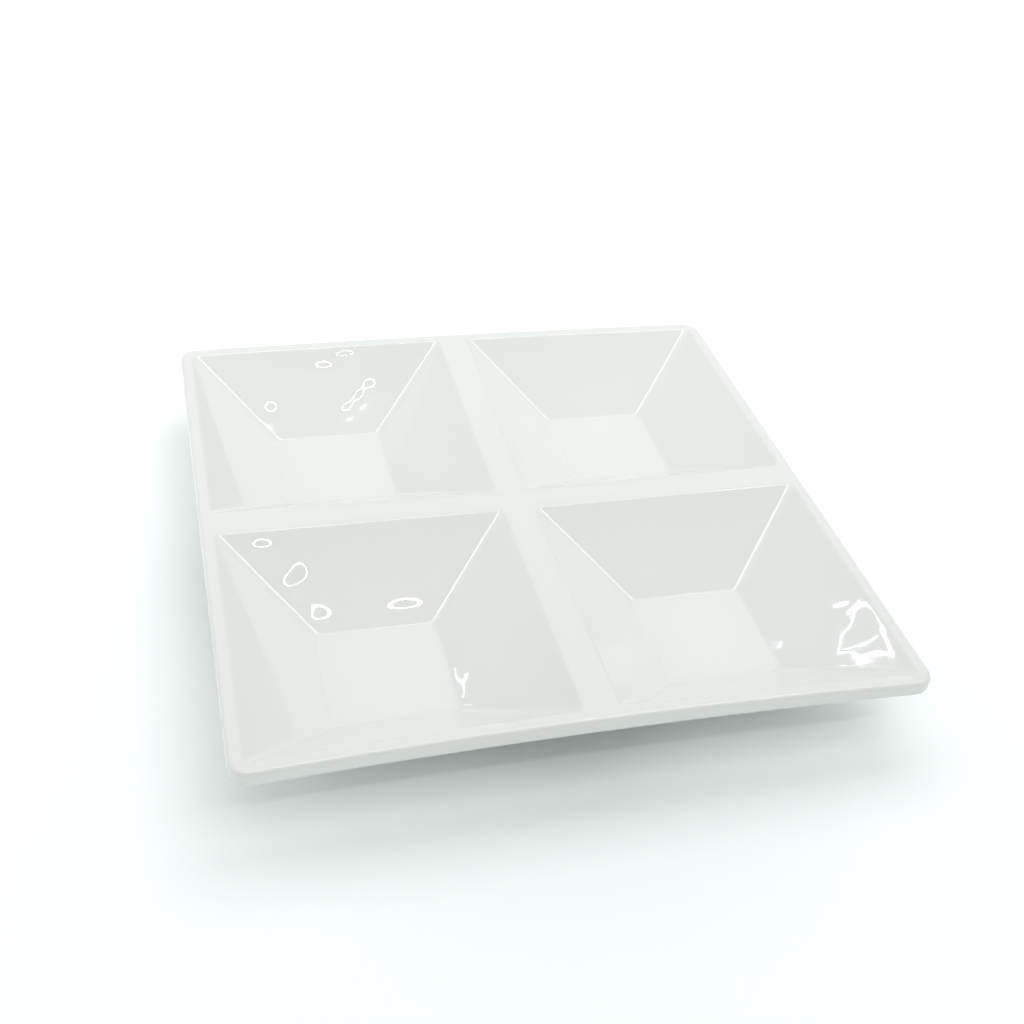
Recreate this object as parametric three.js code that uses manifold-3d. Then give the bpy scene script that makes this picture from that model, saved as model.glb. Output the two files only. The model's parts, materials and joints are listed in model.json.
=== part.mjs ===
// A square four-section sauce dish in glazed porcelain, in millimetres, +Z up.
//
// The origin is the middle of the dish, on the surface it stands on. +X runs along the front edge
// and +Y towards the rear edge. The real dish is cast and fired as one body, so nothing on it moves.
// Each mesh here is one named portion of that body, parted along the planes where a well meets the
// rim, the divider and the foot.

import * as THREE from 'three';
import { mergeVertices } from 'three/addons/utils/BufferGeometryUtils.js';
import loadManifold from 'manifold-3d';

// Driving dimensions: the dish and its rim

const DISH_SIDE = 200;
const RIM_WIDTH = 3.1;
const RIM_CORNER_RADIUS = 6;
const LIP_ROUND = 1.6;

// The wells and the divider between them

const DIVIDER_WIDTH = 8.6;
const WELL_DEPTH = 22.5;
const WALL_RUN = 27.2;
const WALL_THICKNESS = 4.3;
const FLOOR_THICKNESS = 4.5;
const WELL_CORNER_RADIUS = 2;
const FLOOR_CORNER_RADIUS = 2;
const WELL_EDGE_ROUND = 2;
const FLOOR_FILLET = 2;
const UNDERSIDE_CORNER_RADIUS = 9;
const UNDERSIDE_FILLET = 6;

// The foot ring under each well

const FOOT_HEIGHT = 3;
const FOOT_SET_BACK = 0.3;
const FOOT_WALL = 3.6;
const FOOT_CORNER_RADIUS = 7;
const FOOT_EDGE_ROUND = 0.8;

// Facets of a rounded corner in plan, and of a rounded edge in section

const CORNER_STEPS = 8;
const EDGE_STEPS = 4;

// How far a cutting solid reaches past the face that it cuts

const CUT_REACH = 2;

// The sharpest corner radius, and the roundest as a share of half a side

const SHARPEST_RADIUS = 0.01;
const ROUNDEST_SHARE = 0.95;

// Sizes worked out from the driving dimensions

const rimHalf = DISH_SIDE / 2;
const rimInnerHalf = rimHalf - RIM_WIDTH;
const dividerHalf = DIVIDER_WIDTH / 2;
const wellHalf = (rimInnerHalf - dividerHalf) / 2;
const wellCentre = dividerHalf + wellHalf;
const wallSlope = Math.atan2(WELL_DEPTH, WALL_RUN);
const roundReach = (radius) => radius * Math.tan(wallSlope / 2);
const wallTopInset = roundReach(WELL_EDGE_ROUND);
const floorHalf = wellHalf - wallTopInset - WALL_RUN;
const floorHeight = FOOT_HEIGHT + FLOOR_THICKNESS;
const rimHeight = floorHeight + WELL_DEPTH;
const undersideHalf = (z) => (
  floorHalf + (z - floorHeight) / Math.tan(wallSlope) + WALL_THICKNESS / Math.sin(wallSlope)
);
const plateUnderside = rimHeight - WALL_THICKNESS / Math.cos(wallSlope);
const panBottomHalf = undersideHalf(FOOT_HEIGHT) - roundReach(UNDERSIDE_FILLET);
const footHalf = panBottomHalf - FOOT_SET_BACK;

// Finishes

const glaze = new THREE.MeshStandardMaterial({ color: 0xf1f3ef, roughness: 0.12, metalness: 0 });
const bareBody = new THREE.MeshStandardMaterial({ color: 0xe6e2d8, roughness: 0.75, metalness: 0 });

// Solids

const wasm = await loadManifold();
wasm.setup();

function solidFrom(geometry) {
  const bare = geometry.clone();
  bare.deleteAttribute('normal');
  bare.deleteAttribute('uv');
  const merged = mergeVertices(bare);
  return new wasm.Manifold(new wasm.Mesh({
    numProp: 3,
    vertProperties: new Float32Array(merged.attributes.position.array),
    triVerts: new Uint32Array(merged.index.array),
  }));
}

function meshFrom(name, solid, material) {
  const { vertProperties, triVerts, numProp } = solid.getMesh();
  const geometry = new THREE.BufferGeometry();
  geometry.setAttribute('position', new THREE.BufferAttribute(vertProperties, numProp));
  geometry.setIndex(new THREE.BufferAttribute(triVerts, 1));
  geometry.computeVertexNormals();
  const mesh = new THREE.Mesh(geometry, material);
  mesh.name = name;
  return mesh;
}

// One level outline of a square with rounded corners, anticlockwise from above.
function squareRing({ half, radius, z }) {
  const round = Math.min(Math.max(radius, SHARPEST_RADIUS), ROUNDEST_SHARE * half);
  const points = [];
  for (let corner = 0; corner < 4; corner += 1) {
    const quarter = corner * Math.PI / 2;
    const across = (half - round) * Math.SQRT2;
    const centreX = across * Math.cos(quarter + Math.PI / 4);
    const centreY = across * Math.sin(quarter + Math.PI / 4);
    for (let step = 0; step <= CORNER_STEPS; step += 1) {
      const angle = quarter + (step / CORNER_STEPS) * Math.PI / 2;
      points.push([centreX + round * Math.cos(angle), centreY + round * Math.sin(angle), z]);
    }
  }
  return points;
}

// A closed solid through square rings, listed from the lowest to the highest.
function squareLoft(levels) {
  const rings = levels.map(squareRing);
  const count = rings[0].length;
  const positions = rings.flat(2);
  const lowest = rings.length * count;
  const highest = lowest + 1;
  const top = (rings.length - 1) * count;
  positions.push(0, 0, levels[0].z, 0, 0, levels.at(-1).z);
  const triangles = [];
  for (let side = 0; side < count; side += 1) {
    const next = (side + 1) % count;
    triangles.push(lowest, next, side, highest, top + side, top + next);
    for (let level = 0; level < rings.length - 1; level += 1) {
      const lower = level * count;
      const upper = lower + count;
      triangles.push(lower + side, lower + next, upper + next);
      triangles.push(lower + side, upper + next, upper + side);
    }
  }
  const geometry = new THREE.BufferGeometry();
  geometry.setAttribute('position', new THREE.Float32BufferAttribute(positions, 3));
  geometry.setIndex(triangles);
  return solidFrom(geometry);
}

function squarePrism(half, radius, bottom, top) {
  return squareLoft([{ half, radius, z: bottom }, { half, radius, z: top }]);
}

function boxBetween(low, high) {
  const size = high.map((value, axis) => value - low[axis]);
  const geometry = new THREE.BoxGeometry(...size);
  geometry.translate(...high.map((value, axis) => (value + low[axis]) / 2));
  return solidFrom(geometry);
}

// The rim: a narrow flat band with a rounded outer lip

function insideRim(bottom, top) {
  return squarePrism(rimInnerHalf, RIM_CORNER_RADIUS - RIM_WIDTH, bottom, top);
}

function rimFrame() {
  const levels = [];
  const roundTo = (centreZ, startAngle) => {
    for (let step = 0; step <= EDGE_STEPS; step += 1) {
      const angle = startAngle + (step / EDGE_STEPS) * Math.PI / 2;
      const pulledIn = LIP_ROUND * (1 - Math.cos(angle));
      levels.push({
        half: rimHalf - pulledIn,
        radius: RIM_CORNER_RADIUS - pulledIn,
        z: centreZ + LIP_ROUND * Math.sin(angle),
      });
    }
  };
  roundTo(plateUnderside + LIP_ROUND, -Math.PI / 2);
  roundTo(rimHeight - LIP_ROUND, 0);
  return squareLoft(levels).subtract(insideRim(plateUnderside - CUT_REACH, rimHeight + CUT_REACH));
}

// The divider: two flat-topped bars that cross between the wells

function dividerCross() {
  const along = boxBetween(
    [-rimInnerHalf, -dividerHalf, plateUnderside],
    [rimInnerHalf, dividerHalf, rimHeight],
  );
  const across = boxBetween(
    [-dividerHalf, -rimInnerHalf, plateUnderside],
    [dividerHalf, rimInnerHalf, rimHeight],
  );
  return along.add(across);
}

// A well: a pan with four sloping walls, a flat square floor and rounded corners

function wellHollow() {
  const levels = [];
  const addLevel = (inset, drop) => {
    const share = drop / WELL_DEPTH;
    levels.unshift({
      half: wellHalf - inset,
      radius: WELL_CORNER_RADIUS + share * (FLOOR_CORNER_RADIUS - WELL_CORNER_RADIUS),
      z: rimHeight - drop,
    });
  };
  addLevel(0, -CUT_REACH);
  for (let step = 0; step <= EDGE_STEPS; step += 1) {
    const angle = (step / EDGE_STEPS) * wallSlope;
    addLevel(WELL_EDGE_ROUND * Math.sin(angle), WELL_EDGE_ROUND * (1 - Math.cos(angle)));
  }
  const filletEnd = wellHalf - floorHalf + roundReach(FLOOR_FILLET);
  for (let step = EDGE_STEPS; step >= 0; step -= 1) {
    const angle = (step / EDGE_STEPS) * wallSlope;
    addLevel(filletEnd - FLOOR_FILLET * Math.sin(angle), WELL_DEPTH - FLOOR_FILLET * (1 - Math.cos(angle)));
  }
  return squareLoft(levels);
}

// The pan's outer body: the hollow grown by its wall and floor, rounded where they meet.
function wellBody() {
  const levels = [];
  const addLevel = (half, z) => levels.push({ half, radius: UNDERSIDE_CORNER_RADIUS, z });
  for (let step = 0; step <= EDGE_STEPS; step += 1) {
    const angle = (step / EDGE_STEPS) * wallSlope;
    addLevel(
      panBottomHalf + UNDERSIDE_FILLET * Math.sin(angle),
      FOOT_HEIGHT + UNDERSIDE_FILLET * (1 - Math.cos(angle)),
    );
  }
  addLevel(undersideHalf(rimHeight + CUT_REACH), rimHeight + CUT_REACH);
  return squareLoft(levels);
}

function well(sideX, sideY) {
  const place = [sideX * wellCentre, sideY * wellCentre, 0];
  const nearX = sideX * dividerHalf;
  const nearY = sideY * dividerHalf;
  const farX = sideX * (rimHalf + CUT_REACH);
  const farY = sideY * (rimHalf + CUT_REACH);
  const quarter = boxBetween(
    [Math.min(nearX, farX), Math.min(nearY, farY), -CUT_REACH],
    [Math.max(nearX, farX), Math.max(nearY, farY), rimHeight],
  );
  return wellBody().translate(place)
    .intersect(quarter)
    .intersect(insideRim(-CUT_REACH, rimHeight + CUT_REACH))
    .subtract(wellHollow().translate(place));
}

// A foot: a short square ring under the floor of a well, eased at the edge that meets the table

function foot(sideX, sideY) {
  const easedRing = (half, radius, ease) => [
    { half: half - ease, radius: radius - ease, z: 0 },
    { half, radius, z: FOOT_EDGE_ROUND },
    { half, radius, z: FOOT_HEIGHT },
  ];
  const outer = squareLoft(easedRing(footHalf, FOOT_CORNER_RADIUS, FOOT_EDGE_ROUND));
  const inner = squareLoft(
    easedRing(footHalf - FOOT_WALL, FOOT_CORNER_RADIUS - FOOT_WALL, -FOOT_EDGE_ROUND),
  );
  return outer.subtract(inner).translate([sideX * wellCentre, sideY * wellCentre, 0]);
}

// The dish

const quarters = [
  { name: 'front_left', sideX: -1, sideY: -1 },
  { name: 'front_right', sideX: 1, sideY: -1 },
  { name: 'rear_left', sideX: -1, sideY: 1 },
  { name: 'rear_right', sideX: 1, sideY: 1 },
];

const dish = new THREE.Group();
dish.name = 'four_section_dish';
dish.add(meshFrom('rim_frame', rimFrame(), glaze));
dish.add(meshFrom('divider_cross', dividerCross(), glaze));
for (const { name, sideX, sideY } of quarters) {
  dish.add(meshFrom(`well_${name}`, well(sideX, sideY), glaze));
  dish.add(meshFrom(`foot_${name}`, foot(sideX, sideY), bareBody));
}

export default dish;
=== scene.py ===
# %% [markdown]
# # A four-section sauce dish in glazed porcelain
#
# The object is a shallow square dish: a narrow flat rim, a flat cross that divides it, four square
# wells with sloping walls, and a short foot ring under each well. It is one casting, glazed all over
# except where it stands. Its looks come from three things: soft edges, a thick glossy glaze that is
# never quite flat, and the lights that show in it. This lesson makes them in that order.

# %% [markdown]
# ## The frame
#
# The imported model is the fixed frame. It says where the rim, the divider, the wells and the feet are,
# so every size that can be read from it is read, and nothing is fitted by eye afterwards. The mesh is
# worked out in millimetres, as a potter would measure it, and scaled to metres once, at the end.

import json
import math

import bmesh
import bpy
from mathutils import Matrix, Vector, noise

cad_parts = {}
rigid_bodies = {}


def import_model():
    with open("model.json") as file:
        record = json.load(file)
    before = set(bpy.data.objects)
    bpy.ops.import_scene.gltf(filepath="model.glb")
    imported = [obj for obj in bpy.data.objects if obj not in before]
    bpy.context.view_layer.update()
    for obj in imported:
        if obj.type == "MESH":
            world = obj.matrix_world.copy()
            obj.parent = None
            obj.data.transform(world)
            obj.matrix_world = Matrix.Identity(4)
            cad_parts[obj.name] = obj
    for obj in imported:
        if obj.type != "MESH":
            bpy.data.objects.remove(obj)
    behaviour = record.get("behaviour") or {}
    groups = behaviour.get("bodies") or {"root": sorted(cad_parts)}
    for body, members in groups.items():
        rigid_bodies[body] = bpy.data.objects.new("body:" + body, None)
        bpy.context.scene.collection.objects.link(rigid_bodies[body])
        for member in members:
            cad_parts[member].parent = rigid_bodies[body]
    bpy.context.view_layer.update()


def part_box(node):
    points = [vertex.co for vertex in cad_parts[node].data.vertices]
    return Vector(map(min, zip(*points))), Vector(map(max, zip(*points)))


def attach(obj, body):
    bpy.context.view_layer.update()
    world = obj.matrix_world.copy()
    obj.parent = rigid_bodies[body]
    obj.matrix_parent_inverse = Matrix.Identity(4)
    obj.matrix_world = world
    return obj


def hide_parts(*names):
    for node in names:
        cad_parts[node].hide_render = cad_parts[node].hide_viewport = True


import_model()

MM = 0.001

rim_low, rim_high = (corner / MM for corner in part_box("rim_frame"))
well_low, well_high = (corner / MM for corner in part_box("well_rear_right"))
foot_low, foot_high = (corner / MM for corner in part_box("foot_rear_right"))

rim_half = rim_high.x
rim_top = rim_high.z
plate_underside = rim_low.z
rim_inner_half = well_high.x
divider_half = well_low.x
well_centre = (well_low.x + well_high.x) / 2
well_half = (well_high.x - well_low.x) / 2
foot_half = (foot_high.x - foot_low.x) / 2
pan_bottom = well_low.z
print(f"side {2 * rim_half:.1f} mm, height {rim_top:.1f} mm, well {2 * well_half:.1f} mm")

# %% [markdown]
# ## The camera
#
# The photograph was taken from in front of the dish, a little to its left, tilted by a few degrees.
# The place, the turn and the lens were found by fitting the corners of the rim, the wells and their
# floors. A camera looks along its own -Z, with +X to the right of the picture and +Y up, so the three
# directions go straight into its matrix.

# %% Camera
CAMERA_PLACE = Vector((-107.5, -317.2, 287.9)) * MM
CAMERA_TURN = math.radians(18.634)
CAMERA_TILT_DOWN = math.radians(38.451)
CAMERA_ROLL = math.radians(6.735)
LENS_PIXELS = 1309.3
PICTURE_PIXELS = 1024
SENSOR_WIDTH = 36.0
NEAREST_SEEN = 0.01


def make_camera():
    data = bpy.data.cameras.new("photo_camera")
    data.sensor_width = SENSOR_WIDTH
    data.lens = LENS_PIXELS / PICTURE_PIXELS * SENSOR_WIDTH
    data.clip_start = NEAREST_SEEN
    level_forward = Vector((math.sin(CAMERA_TURN), math.cos(CAMERA_TURN), 0))
    forward = level_forward * math.cos(CAMERA_TILT_DOWN) - Vector((0, 0, math.sin(CAMERA_TILT_DOWN)))
    level_right = Vector((math.cos(CAMERA_TURN), -math.sin(CAMERA_TURN), 0))
    level_up = level_right.cross(forward)
    right = level_right * math.cos(CAMERA_ROLL) + level_up * math.sin(CAMERA_ROLL)
    up = right.cross(forward)
    camera = bpy.data.objects.new("photo_camera", data)
    camera.matrix_world = Matrix((
        (right.x, up.x, -forward.x, CAMERA_PLACE.x),
        (right.y, up.y, -forward.y, CAMERA_PLACE.y),
        (right.z, up.z, -forward.z, CAMERA_PLACE.z),
        (0, 0, 0, 1),
    ))
    bpy.context.scene.collection.objects.link(camera)
    bpy.context.scene.camera = camera
    return camera


camera = make_camera()
print(f"lens {camera.data.lens:.1f} mm at {tuple(round(v, 3) for v in camera.location)}")

# %% [markdown]
# ## The section through a well
#
# A mould-maker draws a section first. From the flat rim the surface turns down over a small rounding,
# runs straight along the sloping wall, and turns level again in a hollow fillet at the floor. Each
# point of the section is kept as a pair: how far it is inside the well's edge, and how far below the
# rim. The same is done for the underside, which is the same wall seen from below, and for the foot.

# %% Section sizes
WELL_DEPTH = 22.5
WALL_RUN = 27.2
WALL_THICKNESS = 4.3
WELL_EDGE_ROUND = 2.0
FLOOR_FILLET = 2.0
WELL_CORNER_RADIUS = 2.0
FLOOR_CORNER_RADIUS = 2.0
UNDERSIDE_CORNER_RADIUS = 9.0
UNDERSIDE_FILLET = 6.0
PLATE_FILLET = 5.0
FOOT_WALL = 3.6
FOOT_CORNER_RADIUS = 7.0
FOOT_BLEND = 0.7
BARE_BAND_HEIGHT = 1.1
LIP_ROUND = 1.6
RIM_CORNER_RADIUS = 6.0

EDGE_STEPS = 7
FILLET_STEPS = 7
WALL_STEPS = 48
UNDERSIDE_STEPS = 6
LIP_STEPS = 6

wall_slope = math.atan2(WELL_DEPTH, WALL_RUN)


def reach(radius):
    """How far a rounding of that radius reaches along each of the two faces it joins."""
    return radius * math.tan(wall_slope / 2)


floor_half = well_half - reach(WELL_EDGE_ROUND) - WALL_RUN
floor_height = rim_top - WELL_DEPTH


def rounding(radius, steps):
    """(along a level face, away from it) while the section turns from level to the slope of the wall."""
    angles = (wall_slope * step / steps for step in range(steps + 1))
    return [(radius * math.sin(angle), radius * (1 - math.cos(angle))) for angle in angles]


def straight_run(start, end, steps):
    """The points between the two ends of a straight face, without the ends."""
    shares = (step / steps for step in range(1, steps))
    return [tuple(a + share * (b - a) for a, b in zip(start, end)) for share in shares]


def well_section():
    """(inside the well's edge, below the rim) from the edge to the flat of the floor."""
    edge = rounding(WELL_EDGE_ROUND, EDGE_STEPS)
    level = well_half - floor_half + reach(FLOOR_FILLET)
    fillet = rounding(FLOOR_FILLET, FILLET_STEPS)
    fillet = [(level - along, WELL_DEPTH - away) for along, away in reversed(fillet)]
    return edge + straight_run(edge[-1], fillet[0], WALL_STEPS) + fillet


print(f"wall slope {math.degrees(wall_slope):.1f} degrees, floor {2 * floor_half:.1f} mm wide")

# %% [markdown]
# ## Square rings
#
# Every level of a well is a square with rounded corners, so the mesh is a stack of such rings. Each
# ring has the same number of points, so that quads run cleanly from one to the next, down the walls
# and round the corners. At the edge of its quarter of the dish a ring becomes a sharp square: there
# the points of a corner are spread along its two sides, and they meet the next quarter's points.

# %% Ring maker
CORNER_STEPS = 10
SIDE_STEPS = 96
RING_QUARTER = CORNER_STEPS + SIDE_STEPS
RING_POINTS = 4 * RING_QUARTER
CORNER_SPREAD = 4.0


def ring(low, high, radii):
    """Points of a square from (low, low) to (high, high) with one radius for each corner.

    They run anticlockwise from the upper end of its right side. A radius of 0 is a sharp corner.
    """
    corners = ((high, high), (low, high), (low, low), (high, low))
    runs = []
    for index, (corner, radius) in enumerate(zip(corners, radii)):
        first = Vector((math.cos(index * math.pi / 2), math.sin(index * math.pi / 2)))
        second = Vector((-first.y, first.x))
        corner = Vector(corner)
        run = []
        for step in range(CORNER_STEPS + 1):
            share = step / CORNER_STEPS
            if radius > 0:
                turn = share * math.pi / 2
                inward = (math.cos(turn) - 1) * first + (math.sin(turn) - 1) * second
                run.append(corner + radius * inward)
            else:
                back = max(0.0, 1 - 2 * share) * second + max(0.0, 2 * share - 1) * first
                run.append(corner - CORNER_SPREAD * back)
        runs.append(run)
    points = []
    for run, following in zip(runs, runs[1:] + runs[:1]):
        points += run
        for step in range(1, SIDE_STEPS):
            points.append(run[-1].lerp(following[0], step / SIDE_STEPS))
    return points


def centred_ring(half, radius):
    """A ring round the middle of the well."""
    return ring(well_centre - half, well_centre + half, [radius] * 4)


print(f"{RING_POINTS} points in a ring")

# %% [markdown]
# ## One quarter of the dish
#
# The dish is the same in all four quarters, so one quarter is worked out, as stacks of rings. The first
# stack is its top. It starts as the outline of the quarter, closes in over the flat of the rim and the
# divider to the edge of the well, and then follows the section down the walls to the floor.

# %% Top of a quarter
FLAT_STEPS = 6

quarter_edge = rim_half - LIP_ROUND
quarter_ring = ring(0, quarter_edge, [RIM_CORNER_RADIUS - LIP_ROUND, 0, 0, 0])


def raised(points, z):
    """Flat points at a height."""
    return [Vector((p.x, p.y, z)) for p in points]


def top_rings():
    edge = centred_ring(well_half, WELL_CORNER_RADIUS)
    rings = []
    for step in range(FLAT_STEPS):
        share = step / FLAT_STEPS
        rings.append(raised([a.lerp(b, share) for a, b in zip(quarter_ring, edge)], rim_top))
    for inside, below in well_section():
        share = below / WELL_DEPTH
        radius = WELL_CORNER_RADIUS + share * (FLOOR_CORNER_RADIUS - WELL_CORNER_RADIUS)
        rings.append(raised(centred_ring(well_half - inside, radius), rim_top - below))
    return rings


top = top_rings()
print(f"{len(top)} rings on top")

# %% [markdown]
# ## The underside
#
# From below the walls are the same ones, a wall's thickness further out. One fillet joins them to the
# plate under the rim and the divider, and another to the flat bottom of the pan. The foot ring stands
# on that bottom, and the glaze on it ends a little above the table.

# %% Underside of a quarter
def underside_half(z):
    """Half the width of the pan's outside at a height."""
    return floor_half + (z - floor_height) / math.tan(wall_slope) + WALL_THICKNESS / math.sin(wall_slope)


def underside_rings():
    rings = [raised(quarter_ring, plate_underside)]
    plate_half = underside_half(plate_underside) + reach(PLATE_FILLET)
    pan_half = underside_half(pan_bottom) - reach(UNDERSIDE_FILLET)
    upper = rounding(PLATE_FILLET, FILLET_STEPS)
    upper = [(plate_half - along, plate_underside - away) for along, away in upper]
    lower = rounding(UNDERSIDE_FILLET, FILLET_STEPS)
    lower = [(pan_half + along, pan_bottom + away) for along, away in reversed(lower)]
    for half, z in upper + straight_run(upper[-1], lower[0], UNDERSIDE_STEPS) + lower:
        rings.append(raised(centred_ring(half, UNDERSIDE_CORNER_RADIUS), z))
    inner_half = foot_half - FOOT_WALL
    inner_radius = FOOT_CORNER_RADIUS - FOOT_WALL
    foot_section = (
        (foot_half, FOOT_CORNER_RADIUS, pan_bottom - FOOT_BLEND),
        (foot_half, FOOT_CORNER_RADIUS, BARE_BAND_HEIGHT),
        (inner_half, inner_radius, BARE_BAND_HEIGHT),
        (inner_half, inner_radius, pan_bottom - FOOT_BLEND),
        (inner_half - FOOT_BLEND, inner_radius, pan_bottom),
    )
    for half, radius, z in foot_section:
        rings.append(raised(centred_ring(half, radius), z))
    return rings


underside = underside_rings()
print(f"{len(underside)} rings below")

# %% [markdown]
# ## The lip
#
# Round the two outer sides of the quarter, the lip joins the top to the underside. Its profile is a
# quarter circle, a short upright and another quarter circle. Each row of points is the outer edge of
# the quarter, pushed outwards by what the profile says.

# %% Rounded lip
def lip_rows():
    """Rows of points from the top's outer edge, over the rounded lip, to the underside's outer edge."""
    first = 3 * RING_QUARTER + CORNER_STEPS // 2
    outline = [quarter_ring[(first + step) % RING_POINTS] for step in range(2 * RING_QUARTER + 1)]
    centre = quarter_edge - (RIM_CORNER_RADIUS - LIP_ROUND)
    profile = []
    for step in range(LIP_STEPS + 1):
        angle = math.pi / 2 * (1 - step / LIP_STEPS)
        profile.append((LIP_ROUND * math.cos(angle), rim_top - LIP_ROUND * (1 - math.sin(angle))))
    for step in range(LIP_STEPS + 1):
        angle = math.pi / 2 * step / LIP_STEPS
        profile.append((LIP_ROUND * math.cos(angle), plate_underside + LIP_ROUND * (1 - math.sin(angle))))
    rows = []
    for out, z in profile:
        row = []
        for p in outline:
            outward = Vector((max(0.0, p.x - centre), max(0.0, p.y - centre)))
            row.append(Vector((*(p + out * outward.normalized()), z)))
        rows.append(row)
    return rows


lip = lip_rows()
print(f"{len(lip)} rows round the lip")

# %% [markdown]
# ## Flat floors
#
# The flat inside the last ring of a stack is filled with a grid of quads that follows the ring's four
# sides, so that no fan of thin triangles meets in the middle. A point of the grid is a blend of the
# four border points that it lies between, less what the corners would count twice.

# %% Floor grid
def floor_grid(points):
    """A grid of points inside one ring, with the ring itself as its border."""
    def border(side, step):
        return points[(side * RING_QUARTER + CORNER_STEPS // 2 + step) % RING_POINTS]
    count = RING_QUARTER
    rows = []
    for row in range(count + 1):
        v = row / count
        line = []
        for column in range(count + 1):
            u = column / count
            far, near = border(0, count - column), border(2, column)
            left, right = border(1, count - row), border(3, row)
            corners = (
                (1 - u) * ((1 - v) * border(2, 0) + v * border(1, 0))
                + u * ((1 - v) * border(3, 0) + v * border(0, 0))
            )
            line.append((1 - v) * near + v * far + (1 - u) * left + u * right - corners)
        rows.append(line)
    return rows


well_floor = floor_grid(top[-1])
pan_floor = floor_grid(underside[-1])
print(f"{len(well_floor)} by {len(well_floor[0])} points on a floor")

# %% [markdown]
# ## From rings to one closed body
#
# The quarter is mirrored into place four times, and the points that the quarters share are merged, so
# that the glazed body is one closed mesh with no seam for the light to catch on.

# %% Glazed body mesh
MERGE_DISTANCE = 0.001


def add_quarter(mesh, side_x, side_y):
    flipped = side_x * side_y < 0

    def place(points):
        return [mesh.verts.new((p.x * side_x, p.y * side_y, p.z)) for p in points]

    def quad(*corners):
        mesh.faces.new(corners[::-1] if flipped else corners)

    def join(rows, closed, outward):
        rows = [place(points) for points in rows]
        for row, following in zip(rows, rows[1:]):
            count = len(row) if closed else len(row) - 1
            for index in range(count):
                ahead = (index + 1) % len(row)
                corners = (row[index], row[ahead], following[ahead], following[index])
                quad(*(corners if outward else corners[::-1]))

    join(top, closed=True, outward=True)
    join(underside, closed=True, outward=False)
    join(lip, closed=False, outward=False)
    join(well_floor, closed=False, outward=True)
    join(pan_floor, closed=False, outward=False)


def make_body_mesh():
    mesh = bmesh.new()
    for side_x in (-1, 1):
        for side_y in (-1, 1):
            add_quarter(mesh, side_x, side_y)
    bmesh.ops.remove_doubles(mesh, verts=mesh.verts, dist=MERGE_DISTANCE)
    open_edges = sum(1 for edge in mesh.edges if not edge.is_manifold)
    print(f"body: {len(mesh.verts)} points, {len(mesh.faces)} faces, {open_edges} open edges")
    return mesh


body_mesh = make_body_mesh()

# %% [markdown]
# ## What the kiln did
#
# A casting never leaves the kiln quite true. Between their corners the front and the rear of this rim
# bow in by a millimetre and a half and stand a little higher than the corners do, and the crossing of
# the dividers has settled. These are smooth functions of the place on the dish, and they fade out
# towards the feet, which are ground flat.

# %% Kiln warp
FRONT_BOW = 1.45
FRONT_LIFT = 1.75
SIDE_LIFT = 0.1
CROSS_SAG = 0.75


def warp(point):
    """Where a point of the true casting ends up."""
    u, v = point.x / rim_half, point.y / rim_half
    standing = max(0.0, min(1.0, (point.z - pan_bottom) / (rim_top - pan_bottom)))
    front_middle = v * v * (1 - u * u)
    side_middle = u * u * (1 - v * v)
    centre = (1 - u * u) * (1 - v * v)
    rise = FRONT_LIFT * (front_middle - 1) + SIDE_LIFT * side_middle - CROSS_SAG * centre
    return Vector((
        point.x,
        point.y - standing * FRONT_BOW * v * (1 - u * u),
        point.z + standing * rise,
    ))


cross_drop = rim_top - warp(Vector((0, 0, rim_top))).z
print(f"the middle of the cross ends {cross_drop:.2f} mm below the highest rim")

# %% [markdown]
# ## Ridges between the wells
#
# The tops of the dividers are not flat: the mould gives them a slight crown, which blends into the wall
# over a small rounding. So the section across a divider is a parabola, then an arc that turns from the
# end of the parabola to the slope of the wall. Where the arc meets the wall is set first; the height of
# the crown follows from it. The body is raised by the difference from the flat section, and the crown
# fades out where a divider runs into the rim.

# %% Divider ridges
CROWN_END_SLOPE = math.radians(15)
CROWN_ROUND = 1.8
CROWN_REACH = 5.4
CROWN_FADE = 60.0

shoulder = divider_half + reach(WELL_EDGE_ROUND)
crown_half = CROWN_REACH - CROWN_ROUND * (math.sin(wall_slope) - math.sin(CROWN_END_SLOPE))
crown_drop = crown_half * math.tan(CROWN_END_SLOPE) / 2
arc_drop = CROWN_ROUND * (math.cos(CROWN_END_SLOPE) - math.cos(wall_slope))
crown_height = crown_drop + arc_drop - (CROWN_REACH - shoulder) * math.tan(wall_slope)


def flat_section(apart):
    """The height above the rim of a flat divider, at that distance from its middle."""
    rounded = apart - divider_half
    if rounded <= 0:
        return 0.0
    if rounded < WELL_EDGE_ROUND * math.sin(wall_slope):
        return math.sqrt(WELL_EDGE_ROUND ** 2 - rounded ** 2) - WELL_EDGE_ROUND
    return (shoulder - apart) * math.tan(wall_slope)


def crowned_section(apart):
    """The height above the rim of the crowned divider, at that distance from its middle."""
    if apart <= crown_half:
        return crown_height - crown_drop * (apart / crown_half) ** 2
    turned = CROWN_ROUND * math.sin(CROWN_END_SLOPE) + apart - crown_half
    level = crown_height - crown_drop - CROWN_ROUND * math.cos(CROWN_END_SLOPE)
    return level + math.sqrt(CROWN_ROUND ** 2 - turned ** 2)


def crown_raise(point):
    """How much the crown lifts a point of the flat divider."""
    apart, along = sorted((abs(point.x), abs(point.y)))
    if apart >= CROWN_REACH:
        return 0.0
    share = max(0.0, min(1.0, (rim_inner_half - along) / CROWN_FADE))
    return (crowned_section(apart) - flat_section(apart)) * share * share * (3 - 2 * share)


print(f"the crown is {crown_height:.2f} mm high and {2 * crown_half:.1f} mm wide")

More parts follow.
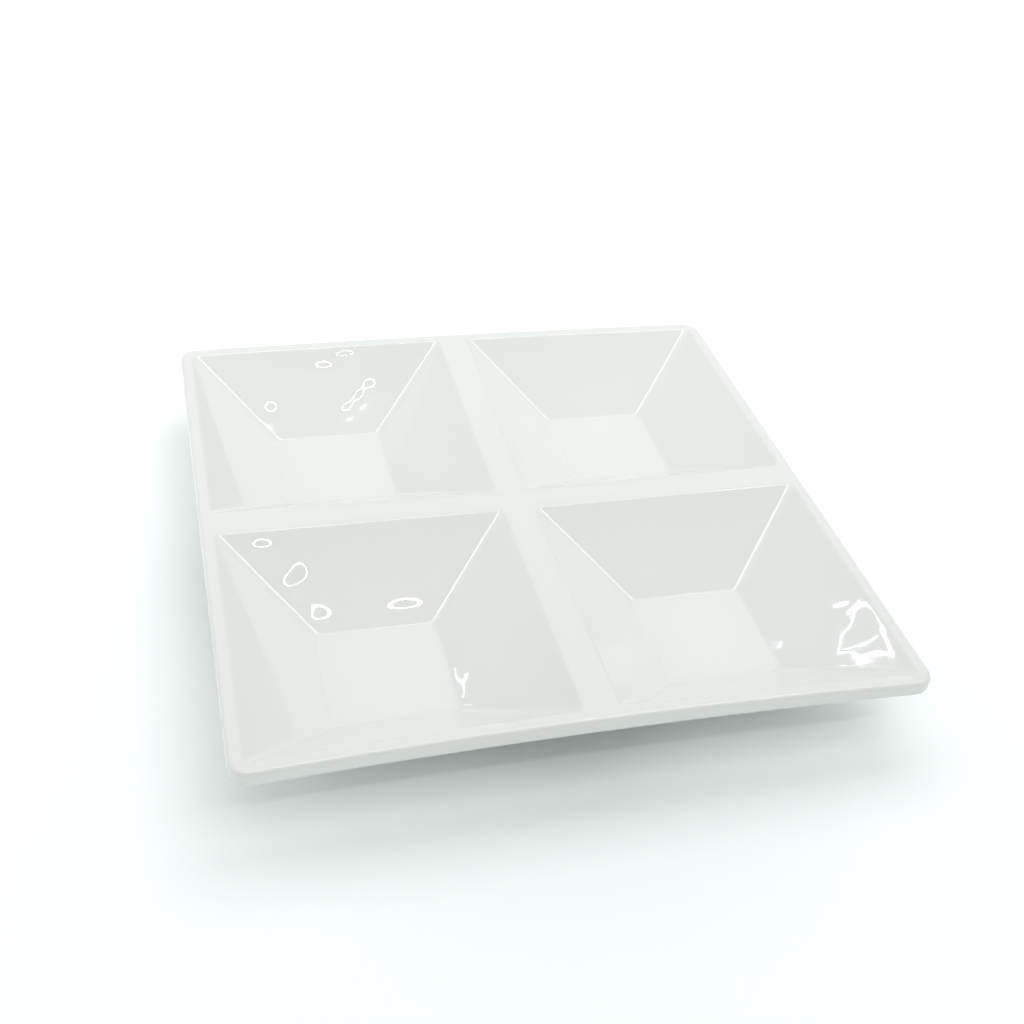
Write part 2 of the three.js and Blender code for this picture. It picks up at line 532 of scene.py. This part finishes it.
# %% [markdown]
# ## What the glaze did
#
# Melted glaze creeps down a slope before it sets. It leaves slow waves everywhere, and here and there a
# shallow dimple, where it ran thin. A dimple a few millimetres wide and a third of a millimetre deep is
# invisible by itself, but a lamp reflected in its upper side shows as a small bright ring or stroke. Each
# one is a smooth bell shape, given by its place, its reach along X and Y, and its depth.

# %% Glaze waves and dimples
WAVE_HEIGHT = 0.03
WAVE_LENGTH = 16.0
GLAZE_DIMPLES = (
    (-49.0, 89.2, 4.4, 1.7, 0.315),
    (-41.0, 92.8, 3.2, 1.0, 0.21),
    (-43.8, 75.4, 1.9, 1.8, 0.25),
    (-40.8, 76.4, 2.0, 1.9, 0.275),
    (-38.6, 78.0, 1.7, 1.7, 0.16),
    (-36.8, 79.6, 1.9, 1.8, 0.34),
    (-33.2, 82.2, 2.4, 2.2, 0.375),
    (-70.2, 76.8, 2.8, 2.7, 0.44),
    (-69.0, 73.6, 3.6, 4.2, 0.26),
    (-82.0, -10.0, 3.0, 1.6, 0.24),
    (-71.5, -18.6, 1.8, 2.6, 0.34),
    (-74.0, -20.4, 2.2, 2.2, 0.28),
    (-72.5, -25.2, 2.2, 1.3, 0.15),
    (-67.6, -28.6, 2.8, 1.9, 0.18),
    (-40.7, -28.2, 4.4, 1.5, 0.14),
)


def glaze_height(point):
    """How far the glaze stands above the true surface."""
    height = WAVE_HEIGHT * noise.noise(point / WAVE_LENGTH)
    for x, y, reach_x, reach_y, depth in GLAZE_DIMPLES:
        apart = ((point.x - x) / reach_x) ** 2 + ((point.y - y) / reach_y) ** 2
        height -= depth * math.exp(-apart / 2)
    return height


def settle(mesh):
    """Apply the glaze, the crown and the warp, and go over to metres."""
    mesh.normal_update()
    for vert in mesh.verts:
        if vert.normal.z > 0:
            crown = crown_raise(vert.co)
            vert.co += glaze_height(vert.co) * vert.normal
            vert.co.z += crown
        vert.co = warp(vert.co) * MM


def piece_from(name, mesh):
    data = bpy.data.meshes.new(name)
    mesh.to_mesh(data)
    mesh.free()
    for polygon in data.polygons:
        polygon.use_smooth = True
    piece = bpy.data.objects.new(name, data)
    bpy.context.scene.collection.objects.link(piece)
    return piece


settle(body_mesh)
glazed_body = piece_from("glazed_body", body_mesh)
print("body size in mm:", [round(v / MM, 1) for v in glazed_body.dimensions])

# %% [markdown]
# ## The bare feet
#
# The ring that touches the kiln shelf has to be wiped clean of glaze, or the dish would stick to it.
# It stays a narrow band of matt, slightly warm porcelain. It is its own piece, a hair narrower than
# the glazed foot above it, so that the edge of the glaze shows as a step.

# %% Bare foot bands
BAND_STEP = 0.15
BAND_EASE = 0.5
BAND_SINK = 0.4


def make_band(name, side_x, side_y):
    outer_half = foot_half - BAND_STEP
    inner_half = foot_half - FOOT_WALL + BAND_STEP
    outer_radius = FOOT_CORNER_RADIUS - BAND_STEP
    inner_radius = FOOT_CORNER_RADIUS - FOOT_WALL + BAND_STEP
    top_z = BARE_BAND_HEIGHT + BAND_SINK
    section = (
        (inner_half, inner_radius, top_z),
        (inner_half, inner_radius, BAND_EASE),
        (inner_half + BAND_EASE, inner_radius + BAND_EASE, 0.0),
        (outer_half - BAND_EASE, outer_radius - BAND_EASE, 0.0),
        (outer_half, outer_radius, BAND_EASE),
        (outer_half, outer_radius, top_z),
        (inner_half, inner_radius, top_z),
    )
    mesh = bmesh.new()
    rows = [[
        mesh.verts.new((p.x * side_x, p.y * side_y, z)) for p in centred_ring(half, radius)
    ] for half, radius, z in section]
    for row, following in zip(rows, rows[1:]):
        for index in range(RING_POINTS):
            ahead = (index + 1) % RING_POINTS
            mesh.faces.new((row[index], following[index], following[ahead], row[ahead]))
    bmesh.ops.remove_doubles(mesh, verts=mesh.verts, dist=MERGE_DISTANCE)
    bmesh.ops.recalc_face_normals(mesh, faces=mesh.faces)
    bmesh.ops.scale(mesh, vec=(MM, MM, MM), verts=mesh.verts)
    return piece_from(name, mesh)


quarters = {
    "front_left": (-1, -1),
    "front_right": (1, -1),
    "rear_left": (-1, 1),
    "rear_right": (1, 1),
}
bare_bands = {name: make_band(f"bare_foot_{name}", *sides) for name, sides in quarters.items()}
print("bare bands:", ", ".join(band.name for band in bare_bands.values()))

# %% [markdown]
# ## The glaze
#
# Porcelain glaze is a clear glass skin over a white body: a nearly white base with a sharp, clear
# reflection. The white is not even. It is a little warmer where the glaze is thin and cooler where it
# has pooled, so a slow noise drifts the colour between two whites, and the gloss a little with it. A
# second noise drives a faint bump, finer than the mesh can hold.

# %% Glaze material
WARM_WHITE = (0.80, 0.80, 0.77, 1)
COOL_WHITE = (0.79, 0.81, 0.795, 1)
GLAZE_INDEX = 1.58
GLAZE_DRIFT_SCALE = 18.0
GLAZE_DRIFT_DETAIL = 2.0
GLAZE_RIPPLE_SCALE = 95.0
GLAZE_RIPPLE_DETAIL = 1.0
GLAZE_RIPPLE_DEPTH = 0.00003
GLAZE_GLOSS = (0.012, 0.022)


def new_material(name):
    material = bpy.data.materials.new(name)
    material.use_nodes = True
    nodes = material.node_tree.nodes
    return material, nodes, material.node_tree.links, nodes["Principled BSDF"]


def add_noise(nodes, links, place, scale, detail):
    texture = nodes.new("ShaderNodeTexNoise")
    texture.inputs["Scale"].default_value = scale
    texture.inputs["Detail"].default_value = detail
    links.new(place.outputs["Object"], texture.inputs["Vector"])
    return texture


def add_tint(nodes, links, shader, texture, first, second):
    """Let a noise drift the base colour between two colours."""
    tint = nodes.new("ShaderNodeMix")
    tint.data_type = "RGBA"
    tint.inputs["A"].default_value = first
    tint.inputs["B"].default_value = second
    links.new(texture.outputs["Fac"], tint.inputs["Factor"])
    links.new(tint.outputs["Result"], shader.inputs["Base Color"])


def add_bump(nodes, links, shader, texture, depth):
    bump = nodes.new("ShaderNodeBump")
    bump.inputs["Distance"].default_value = depth
    links.new(texture.outputs["Fac"], bump.inputs["Height"])
    links.new(bump.outputs["Normal"], shader.inputs["Normal"])


def make_glaze():
    material, nodes, links, shader = new_material("porcelain_glaze")
    place = nodes.new("ShaderNodeTexCoord")
    drift = add_noise(nodes, links, place, GLAZE_DRIFT_SCALE, GLAZE_DRIFT_DETAIL)
    add_tint(nodes, links, shader, drift, WARM_WHITE, COOL_WHITE)
    gloss = nodes.new("ShaderNodeMapRange")
    gloss.inputs["To Min"].default_value, gloss.inputs["To Max"].default_value = GLAZE_GLOSS
    links.new(drift.outputs["Fac"], gloss.inputs["Value"])
    links.new(gloss.outputs["Result"], shader.inputs["Roughness"])
    ripple = add_noise(nodes, links, place, GLAZE_RIPPLE_SCALE, GLAZE_RIPPLE_DETAIL)
    add_bump(nodes, links, shader, ripple, GLAZE_RIPPLE_DEPTH)
    shader.inputs["IOR"].default_value = GLAZE_INDEX
    return material


glaze = make_glaze()
glazed_body.data.materials.append(glaze)
print("glaze:", glaze.name)

# %% [markdown]
# ## The bare porcelain
#
# Fired porcelain without glaze is matt and a shade darker and warmer, with the fine grain of a biscuit.

# %% Bare porcelain material
BISCUIT_LIGHT = (0.76, 0.73, 0.67, 1)
BISCUIT_DARK = (0.68, 0.64, 0.57, 1)
BISCUIT_GRAIN_SCALE = 1400.0
BISCUIT_GRAIN_DETAIL = 3.0
BISCUIT_GRAIN_DEPTH = 0.00008
BISCUIT_ROUGHNESS = 0.78


def make_biscuit():
    material, nodes, links, shader = new_material("bare_porcelain")
    place = nodes.new("ShaderNodeTexCoord")
    grain = add_noise(nodes, links, place, BISCUIT_GRAIN_SCALE, BISCUIT_GRAIN_DETAIL)
    add_tint(nodes, links, shader, grain, BISCUIT_LIGHT, BISCUIT_DARK)
    add_bump(nodes, links, shader, grain, BISCUIT_GRAIN_DEPTH)
    shader.inputs["Roughness"].default_value = BISCUIT_ROUGHNESS
    return material


biscuit = make_biscuit()
for band in bare_bands.values():
    band.data.materials.append(biscuit)
print("bare porcelain:", biscuit.name)

# %% [markdown]
# ## The stage
#
# A white dish on a white table: the floor is a plain pale plane that has to run to pure white away from
# the dish, so that only the soft shadow in front of it tells where it stands. To get there the floor has
# painted light: an emission that glows, rising with the distance from the dish, and nothing near it.

# %% Floor
FLOOR_SIZE = 6.0
FLOOR_WHITE = (0.955, 0.985, 0.985, 1)
FLOOR_ROUGHNESS = 0.9
# Painted light on the floor: its glow, from nothing near the dish to full strength further out.
PAINTED_GLOW_COLOUR = (1, 1, 1, 1)
PAINTED_GLOW_START = 0.13
PAINTED_GLOW_FULL = 0.45
PAINTED_GLOW_STRENGTH = 0.3


def make_floor():
    mesh = bmesh.new()
    bmesh.ops.create_grid(mesh, x_segments=1, y_segments=1, size=FLOOR_SIZE / 2)
    floor = piece_from("pale_floor", mesh)
    material, nodes, links, shader = new_material("pale_floor")
    shader.inputs["Base Color"].default_value = FLOOR_WHITE
    shader.inputs["Roughness"].default_value = FLOOR_ROUGHNESS
    shader.inputs["Specular IOR Level"].default_value = 0.0
    place = nodes.new("ShaderNodeTexCoord")
    away = nodes.new("ShaderNodeVectorMath")
    away.operation = "LENGTH"
    links.new(place.outputs["Object"], away.inputs[0])
    painted_glow = nodes.new("ShaderNodeMapRange")
    painted_glow.inputs["From Min"].default_value = PAINTED_GLOW_START
    painted_glow.inputs["From Max"].default_value = PAINTED_GLOW_FULL
    painted_glow.inputs["To Max"].default_value = PAINTED_GLOW_STRENGTH
    links.new(away.outputs["Value"], painted_glow.inputs["Value"])
    # The emission is painted light, brighter the further the floor is from the dish.
    shader.inputs["Emission Color"].default_value = PAINTED_GLOW_COLOUR
    links.new(painted_glow.outputs["Result"], shader.inputs["Emission Strength"])
    floor.data.materials.append(material)
    return floor


floor = make_floor()
print("floor:", floor.name)

# %% [markdown]
# ## The tent
#
# White porcelain is photographed in a small white tent, which gives even light from all round. It is a
# little brighter overhead than at the level of the table. The picture is shown as it falls on the
# sensor, with no film curve, because the whites of the photograph are plain.

# %% Tent
WORLD_COLOUR = (0.96, 1.0, 0.985, 1)
WORLD_STRENGTH = 0.30
WORLD_RISE = 0.33


def make_world():
    world = bpy.data.worlds.new("white_tent")
    world.use_nodes = True
    nodes, links = world.node_tree.nodes, world.node_tree.links
    background = nodes["Background"]
    background.inputs["Color"].default_value = WORLD_COLOUR
    direction = nodes.new("ShaderNodeTexCoord")
    upward = nodes.new("ShaderNodeSeparateXYZ")
    links.new(direction.outputs["Generated"], upward.inputs["Vector"])
    strength = nodes.new("ShaderNodeMath")
    strength.operation = "MULTIPLY_ADD"
    strength.inputs[1].default_value = WORLD_RISE
    strength.inputs[2].default_value = WORLD_STRENGTH
    links.new(upward.outputs["Z"], strength.inputs[0])
    links.new(strength.outputs["Value"], background.inputs["Strength"])
    bpy.context.scene.world = world
    return world


world = make_world()
bpy.context.scene.view_settings.view_transform = "Standard"
print("world:", world.name)

# %% [markdown]
# ## Cloths, lamp and sheets
#
# Bright cloths hang above and beside the rear of the dish, and one high in front of it. The rear cloths
# are near, so the light falls off towards the front left corner. Cloths are hidden from reflections,
# where their edges would show. The narrow lamp in front throws the sharp dark strip under the lip, and
# shows in the dimples. Two sheets overhead, which only reflections see, draw bright lines along the
# edges of the sloping walls.
#
# Each panel is given by its name, its place, the way it faces, its width and height, and the brightness
# of its face, so that it can be resized without changing how it looks in the glaze.

# %% Panels of light
CLOTHS = (
    ("top_left_cloth", (-0.2, 0.2, 0.55), (0, 0, -1), 0.4, 0.4, 0.9),
    ("top_right_cloth", (0.2, 0.2, 0.55), (0, 0, -1), 0.4, 0.4, 1.75),
    ("left_cloth", (-0.4, 0.2, 0.22), (1, 0, 0), 0.4, 0.4, 1.1),
    ("right_cloth", (0.4, 0.2, 0.22), (-1, 0, 0), 0.4, 0.4, 0.75),
    ("front_cloth", (1.37, -1.03, 2.95), (0, 1.03, -2.95), 5.5, 1.47, 1.05),
)
NARROW_LAMP = ("narrow_lamp", (0.375, -1.52, 2.585), (0, 1.52, -2.585), 2.25, 0.05, 18)
SHEETS = (
    ("bright_sheet", (1.37, -0.52, 2.95), (0, 0.52, -2.95), 5.5, 0.3, 4.8),
    ("pale_sheet", (1.37, -0.31, 2.95), (0, 0, -1), 5.5, 0.8, 2.0),
)


def add_panel(name, place, facing, width, height, brightness):
    data = bpy.data.lights.new(name, "AREA")
    data.shape = "RECTANGLE"
    data.size = width
    data.size_y = height
    data.energy = math.pi * width * height * brightness
    panel = bpy.data.objects.new(name, data)
    panel.location = place
    panel.rotation_euler = (-Vector(facing)).to_track_quat("Z", "Y").to_euler()
    panel.visible_camera = False
    bpy.context.scene.collection.objects.link(panel)
    return panel


for row in CLOTHS:
    add_panel(*row).visible_glossy = False
add_panel(*NARROW_LAMP)
for row in SHEETS:
    add_panel(*row).visible_diffuse = False
print(f"{len(CLOTHS)} cloths, a lamp and {len(SHEETS)} sheets")

# %% [markdown]
# ## The window
#
# A window at the rear left shows in the wall on the right: thin bright bars for its frame and its
# crossbar, and two thicker ones for its latch. A bright gap beside a door and a small spot of light
# show as a streak and a glint in the front wells. Each bar runs from one place in the room to another.

# %% Window bars
WINDOW_OUTLINE = (
    (-1.456, 1.804, 1.903),
    (-1.381, 1.818, 1.949),
    (-1.408, 1.699, 2.037),
    (-1.480, 1.740, 1.943),
    (-1.525, 1.756, 1.895),
)
WINDOW_CROSSBAR = (-1.496, 1.764, 1.908), (-1.413, 1.743, 1.994)
LAMP_SPOT = (-1.579, 1.830, 1.776), (-1.570, 1.838, 1.776)
DOOR_GAP = (-1.943, 2.000, 1.110), (-2.008, 1.930, 1.113)
WINDOW_LATCHES = (
    ((-1.436, 1.855, 1.873), (-1.404, 1.851, 1.898)),
    ((-1.437, 1.825, 1.901), (-1.381, 1.824, 1.939)),
)
BAR_THICKNESS = 0.008
GAP_THICKNESS = 0.004
LATCH_THICKNESS = 0.014
BAR_BRIGHTNESS = 12


def add_bar(start, end, thickness):
    """A thin bright bar between two places that shines at the dish."""
    start, end = Vector(start), Vector(end)
    behind = ((start + end) / 2).normalized()
    along = end - start
    across = behind.cross(along).normalized()
    bar = add_panel("window_bar", (start + end) / 2, -behind, along.length, thickness, BAR_BRIGHTNESS)
    bar.rotation_euler = Matrix((across.cross(behind), across, behind)).transposed().to_euler()


for start, end in zip(WINDOW_OUTLINE, WINDOW_OUTLINE[1:] + WINDOW_OUTLINE[:1]):
    add_bar(start, end, BAR_THICKNESS)
for bar in (WINDOW_CROSSBAR, LAMP_SPOT):
    add_bar(*bar, BAR_THICKNESS)
add_bar(*DOOR_GAP, GAP_THICKNESS)
for latch in WINDOW_LATCHES:
    add_bar(*latch, LATCH_THICKNESS)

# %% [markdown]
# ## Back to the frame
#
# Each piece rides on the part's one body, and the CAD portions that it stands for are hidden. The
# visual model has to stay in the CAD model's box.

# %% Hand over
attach(glazed_body, "root")
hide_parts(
    "rim_frame",
    "divider_cross",
    "well_front_left",
    "well_front_right",
    "well_rear_left",
    "well_rear_right",
)
for name, band in bare_bands.items():
    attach(band, "root")
    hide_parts(f"foot_{name}")
